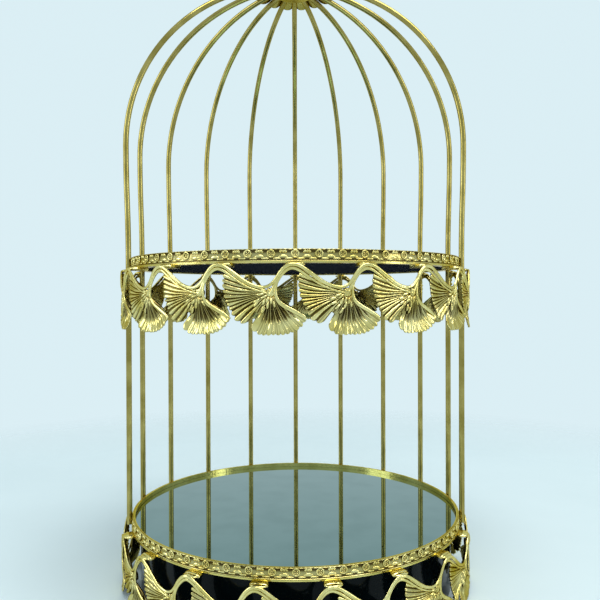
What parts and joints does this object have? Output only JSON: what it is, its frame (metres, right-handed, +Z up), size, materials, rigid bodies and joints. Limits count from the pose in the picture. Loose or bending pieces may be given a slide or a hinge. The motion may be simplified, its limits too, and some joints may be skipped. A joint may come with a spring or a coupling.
{
  "type": "two-tier birdcage display stand",
  "caption": "Open-fronted wire birdcage stand with two mirror trays, ginkgo leaf lace round each tray and a petal crown.",
  "frame": {"origin": "middle of the base, on the surface the stand rests on", "axes": "+Z up along the axis of the rings and the dome; -Y is the open front; +X is to the right seen from the front"},
  "size_m": [0.2658, 0.2658, 0.483],
  "materials": {
    "plated_wire": "gold plated steel wire, polished",
    "plated_ring": "gold plated steel, satin",
    "plated_strip": "gold plated pressed steel strip",
    "plated_leaf": "gold plated casting, polished",
    "plated_crown": "gold plated pressing, polished",
    "black_board": "black board, smooth",
    "black_drum": "black board with a glossy laminate",
    "mirror_plate": "mirror glass"
  },
  "bodies": {
    "root": {"cage_wire_01": "plated_wire", "cage_wire_02": "plated_wire", "cage_wire_03": "plated_wire", "cage_wire_04": "plated_wire", "cage_wire_05": "plated_wire", "cage_wire_06": "plated_wire", "cage_wire_07": "plated_wire", "cage_wire_08": "plated_wire", "cage_wire_09": "plated_wire", "cage_wire_10": "plated_wire", "cage_wire_11": "plated_wire", "lower_base_drum": "black_drum", "lower_hoop": "plated_ring", "lower_gallery_strip": "plated_strip", "lower_backing_board": "black_board", "lower_mirror": "mirror_plate", "lower_leaf_band": "plated_leaf", "lower_band_lugs": "plated_leaf", "upper_hoop": "plated_ring", "upper_gallery_strip": "plated_strip", "upper_backing_board": "black_board", "upper_mirror": "mirror_plate", "upper_leaf_band": "plated_leaf", "upper_band_lugs": "plated_leaf", "crown_hub": "plated_ring", "crown_petal_cap": "plated_crown", "crown_finial": "plated_crown"}
  },
  "joints": []
}
